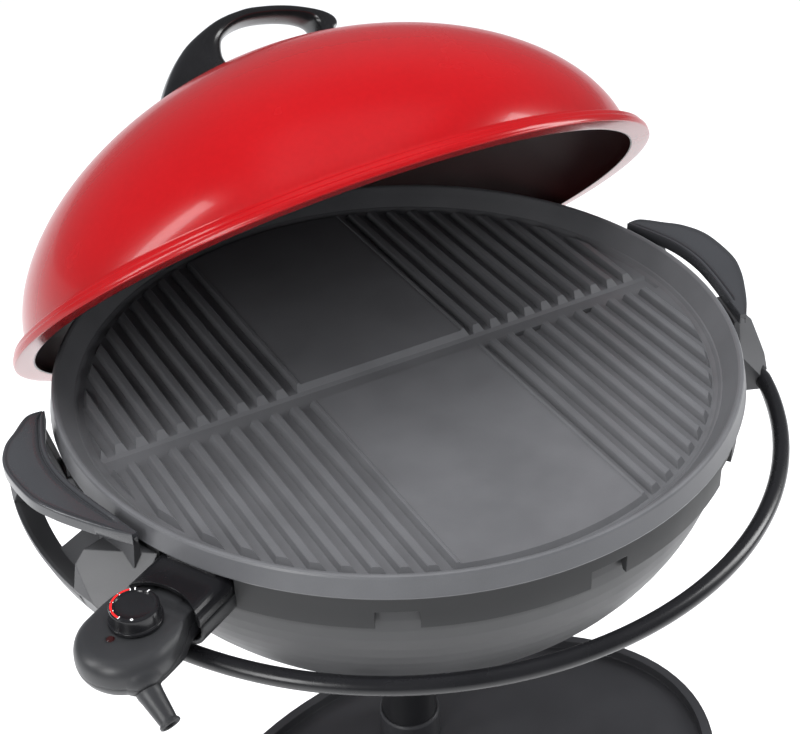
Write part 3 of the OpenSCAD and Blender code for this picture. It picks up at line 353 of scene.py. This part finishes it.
arch_top = catmull([
    (-92, 128), (-90.5, 139), (-84.5, 151), (-74, 165.4), (-61.6, 178), (-48, 187.6), (-25, 197.8), (-2, 201.4),
    (12.5, 200.4), (28, 197.6), (41.5, 193.4), (53, 188), (61.2, 182.6), (65.4, 177.4), (65, 172),
    (60, 168.4), (56, 150)], 6)
arch_low = catmull([
    (-8, 148), (-16, 152), (-26, 158), (-30, 166), (-29, 175), (-25, 183), (-17, 188.6), (-8, 191.6),
    (2.6, 192.6), (15, 191.6), (27, 189.4), (38, 186), (45, 181.4), (47, 175), (45, 168), (43, 160),
    (42, 150)], 6)
SQUARENESS = 0.72  # exponent of the section's rounded square
rings = []
for top, low in zip(arch_top, arch_low):
    mid = (top + low) / 2
    half = (top - low) / 2
    wide = float(np.interp(mid[1], (150, 160, 178, 190, 198), (22.8, 22.4, 16.5, 13.2, 12.4)))
    ring = []
    for k in range(36):
        a = 2 * math.pi * k / 36
        c = math.copysign(abs(math.cos(a)) ** SQUARENESS, math.cos(a))
        s = math.copysign(abs(math.sin(a)) ** SQUARENESS, math.sin(a))
        x, z = mid + half * c
        y = wide * s
        floor_z = FOOT_PLATE_TOP if x > FOOT_PLATE_LEFT else dome_height(math.hypot(x, y)) - 0.2
        ring.append((x, y, max(z, floor_z)))
    rings.append(ring)
verts, faces = loft(rings)
piece("lid_grip", verts, faces, [MATS["handle_black"]], "lid", ["lid_handle"], matrix=AT_LID,
      sharp=70)


# Hoop: a round tube bent along the front

UP = np.array((0, 0, 1))
HOOP_STEPS = 160
rings = []
for i in range(HOOP_STEPS + 1):
    a = math.radians(HOOP_FROM + HOOP_SWEEP * i / HOOP_STEPS)
    out = np.array((math.cos(a), math.sin(a), 0))
    rad = HOOP_TUBE_R if 0 < i < HOOP_STEPS else HOOP_TUBE_R - 0.6
    turn = [2 * math.pi * k / 32 for k in range(32)]
    centre = HOOP_R * out + HOOP_Z * UP
    rings.append([tuple(centre + rad * (math.cos(b) * out + math.sin(b) * UP)) for b in turn])
verts, faces = loft(rings)
piece("hoop_tube", verts, faces, [MATS["black_metal"]], "root", ["hoop"], matrix=AT_DECK)


# Handle wings: bead and groove along the inner edge, lip round the outer one

WING_OUT = [(13.3, 9), (12.6, 20), (9.4, 29.6), (6.4, 38.7), (2, 43.7), (-4.9, 41), (-9.6, 35), (-14.6, 26.4),
            (-18.6, 20), (-21.8, 14.8)]
WING_IN = [(13.3, 7), (8, 10.4), (3, 13.6), (-2.7, 13.6), (-8.6, 11.2), (-17, 9), (-21.8, 10.2)]


def edge_reach(points):
    c = catmull([((PLATE_R + r) * math.cos(math.radians(a)), (PLATE_R + r) * math.sin(math.radians(a)))
                 for a, r in points], 16)
    a = np.degrees([math.atan2(p[1], p[0]) for p in c])
    r = np.array([math.hypot(*p) for p in c])
    order = np.argsort(a)
    return a[order], r[order]


# Sections of a wing: distance in from its edge, height. The bead fades into the plain edge near the front tip.
BEAD = [(0.0, -9.0), (0.0, -1.5), (0.35, -0.55), (1.1, -0.05), (1.9, -0.0), (2.7, -0.25), (3.3, -0.9),
        (3.7, -2.1), (4.3, -2.3), (4.8, -1.5), (5.5, -1.05)]
PLAIN_Z = [-9.0, -2.0, -1.4, -1.1, -1.05, -1.0, -1.0, -1.0, -1.0, -1.0, -1.0]
LIP = [(3.6, -1.0), (3.0, -0.75), (2.4, -0.3), (1.7, -0.05), (1.0, 0.0), (0.4, -0.3), (0.05, -1.0), (0.0, -2.2),
       (0.0, -8.2), (0.7, -9.0), (1.9, -9.0), (2.6, -8.4), (2.6, -4.6)]
FIELD_Z = -1.0
FULL_WIDTH = 15.0  # a narrower wing has its bead and lip scaled down
FADE_AT = -18.2
FADE_OVER = 1.8


def wing_rings():
    ao, ro = edge_reach(WING_OUT)
    ai, ri = edge_reach(WING_IN)
    rows = np.concatenate([13.3 - 0.9 * np.linspace(0, 1, 14) ** 1.6, np.linspace(12.2, -21.0, 96),
                           -21.0 - 0.8 * np.linspace(0.2, 1, 6)])
    rings = []
    for a in rows:
        lo, hi = float(np.interp(a, ai, ri)), float(np.interp(a, ao, ro))
        w = hi - lo
        k = min(1.0, w / FULL_WIDTH)
        f = float(np.clip((a - FADE_AT) / FADE_OVER, 0, 1))
        f = f * f * (3 - 2 * f)
        left = [(s * k, f * z + (1 - f) * y) for (s, z), y in zip(BEAD, PLAIN_Z)]
        right = [(w - s * k, z) for s, z in LIP]
        s0, s1 = left[-1][0], right[0][0]
        field = [(s0 + (s1 - s0) * q, FIELD_Z) for q in (0.17, 0.34, 0.5, 0.66, 0.83)]
        under = [(3.0 * k, -4.6), (3.0 * k, -9.0)]
        c, s = math.cos(math.radians(a)), math.sin(math.radians(a))
        rings.append([((lo + p) * c, (lo + p) * s, z) for p, z in left + field + right + under])
    return rings


for side, word in ((1, "right"), (-1, "left")):
    rings = [[(side * x, y, z) for x, y, z in ring] for ring in wing_rings()]
    verts, faces = loft(rings)
    piece(word + "_wing_top", verts, faces, [MATS["wing_satin"]], "root",
          [word + "_handle_wing"], matrix=AT_DECK, sharp=38)


# Dial: dished top with a raised ring, and its marks

DIAL = AT_SOCKET @ Matrix.Translation((DIAL_REACH * MM, 0, DIAL_Z * MM))
turned = catmull([
    (11.0, 10.9), (11.5, 11.1), (11.9, 11.8), (12.5, 12.0), (13.6, 12.0), (14.5, 11.6), (15.0, 10.6),
    (15.5, 4.0), (15.8, 3.1), (16.4, 2.8), (16.5, 2.0), (16.5, 1.0)], 4)
foot = [(13.5, 0.95), (13.5, 1.25), (3.1, 1.25), (3.1, 4.0), (0, 4.0)]
verts, faces = revolve([(0, 10.9), (6, 10.9)] + [tuple(p) for p in turned] + foot, 96, loop=False)
piece("dial_cap", verts, faces, [MATS["dial_black"]], "dial", ["dial"], matrix=DIAL, sharp=45)

# The marks are drawn along the part's own axes, so their angles read as directions on the floor
DIAL_AXES = AT_DECK @ Matrix.Translation((
    DIAL_REACH * MM * math.cos(math.radians(SOCKET_AT)), DIAL_REACH * MM * math.sin(math.radians(SOCKET_AT)),
    DIAL_Z * MM))


def dial_mark(name, r0, r1, a0, a1, mat, cx=0.0, cy=0.0):
    n = max(2, int((a1 - a0) / 3))
    verts, faces = revolve([(r0, 11.9), (r0, 12.06), (r1, 12.06), (r1, 11.9)], n, a0, a1 - a0)
    piece(name, [(x + cx, y + cy, z) for x, y, z in verts], faces, [MATS[mat]], "dial",
          matrix=DIAL_AXES, sharp=30)


dial_mark("dial_red_arc", 12.7, 14.0, 78, 208, "mark_red")
for i, a in enumerate((28.5, 65, 78, 110, 143, 176, 208)):
    dial_mark("dial_tick_%d" % i, 12.2, 14.2, a - 1.6, a + 1.6, "mark_white")
spot_at = math.radians(243.6)
spot_r = 13.0
dial_mark("dial_spot", 0.45, 0.9, 0, 360, "mark_white", spot_r * math.cos(spot_at), spot_r * math.sin(spot_at))


# Camera, at the photograph's place: its right, up and back directions and its position

def set_camera():
    cam = bpy.data.cameras.new("camera")
    cam.lens = 72
    cam.sensor_width = 36
    cam.sensor_fit = "HORIZONTAL"
    cam.clip_start = 0.05
    obj = bpy.data.objects.new("camera", cam)
    bpy.context.collection.objects.link(obj)
    right = (0.87311, -0.48668, -0.02872)
    up = (0.29734, 0.48487, 0.8225)
    back = (-0.38637, -0.72667, 0.5680)
    place = (-0.4394, -0.8305, 1.4305)
    obj.matrix_world = Matrix([[right[i], up[i], back[i], place[i]] for i in range(3)] + [[0, 0, 0, 1]])
    bpy.context.scene.camera = obj


# Light

def area(name, place, target, size, size_y, power, mirrored=True):
    light = bpy.data.lights.new(name, "AREA")
    light.shape = "RECTANGLE"
    light.size = size
    light.size_y = size_y
    light.energy = power
    obj = bpy.data.objects.new(name, light)
    obj.location = place
    obj.rotation_euler = (Vector(target) - Vector(place)).to_track_quat("-Z", "Y").to_euler()
    obj.visible_glossy = mirrored
    bpy.context.collection.objects.link(obj)


set_camera()
area("key_left", (-1.7, 0.2, 1.7), (0, 0.1, 0.9), 0.3, 1.3, 12)
area("top", (-0.1, -0.2, 3.0), (0, 0, 0.8), 2.0, 2.0, 80, mirrored=False)
area("front_left", (-1.9, -1.1, 1.7), (0, 0, 0.75), 0.6, 1.2, 22)
area("fill_right", (1.9, -0.6, 1.6), (0, 0, 0.75), 0.6, 1.4, 26)
area("rim_back", (0.9, 2.4, 2.2), (0, 0, 0.8), 1.4, 0.8, 22, mirrored=False)

world = bpy.data.worlds.new("world")
bpy.context.scene.world = world
world.use_nodes = True
wt = world.node_tree
wt.nodes.clear()
light_path = wt.nodes.new("ShaderNodeLightPath")


def sky(colour, strength):
    n = wt.nodes.new("ShaderNodeBackground")
    n.inputs["Color"].default_value = (*colour, 1)
    n.inputs["Strength"].default_value = strength
    return n.outputs["Background"]


def choose(ray, otherwise, chosen):
    n = wt.nodes.new("ShaderNodeMixShader")
    wt.links.new(light_path.outputs[ray], n.inputs["Fac"])
    wt.links.new(otherwise, n.inputs[1])
    wt.links.new(chosen, n.inputs[2])
    return n.outputs["Shader"]


soft_light = sky((0.93, 0.95, 1.0), 0.72)
mirrored_sky = sky((0.9, 0.93, 1.0), 0.22)
seen = choose("Is Camera Ray", choose("Is Glossy Ray", soft_light, mirrored_sky), sky((1, 1, 1), 1.0))
wt.links.new(seen, wt.nodes.new("ShaderNodeOutputWorld").inputs["Surface"])

bpy.context.scene.view_settings.view_transform = "Standard"

# Floor
bm = bmesh.new()
bmesh.ops.create_grid(bm, x_segments=8, y_segments=8, size=6.0)
floor_mesh = bpy.data.meshes.new("floor")
bm.to_mesh(floor_mesh)
bm.free()
floor = bpy.data.objects.new("floor", floor_mesh)
bpy.context.collection.objects.link(floor)
pale = Graph("pale_floor")
tint = pale.mix(pale.range(pale.noise(3.0), 0.0, 1.0), (0.90, 0.90, 0.90), (0.93, 0.93, 0.93))
pale.set(Base_Color=tint, Roughness=0.75)
floor_mesh.materials.append(pale.mat)
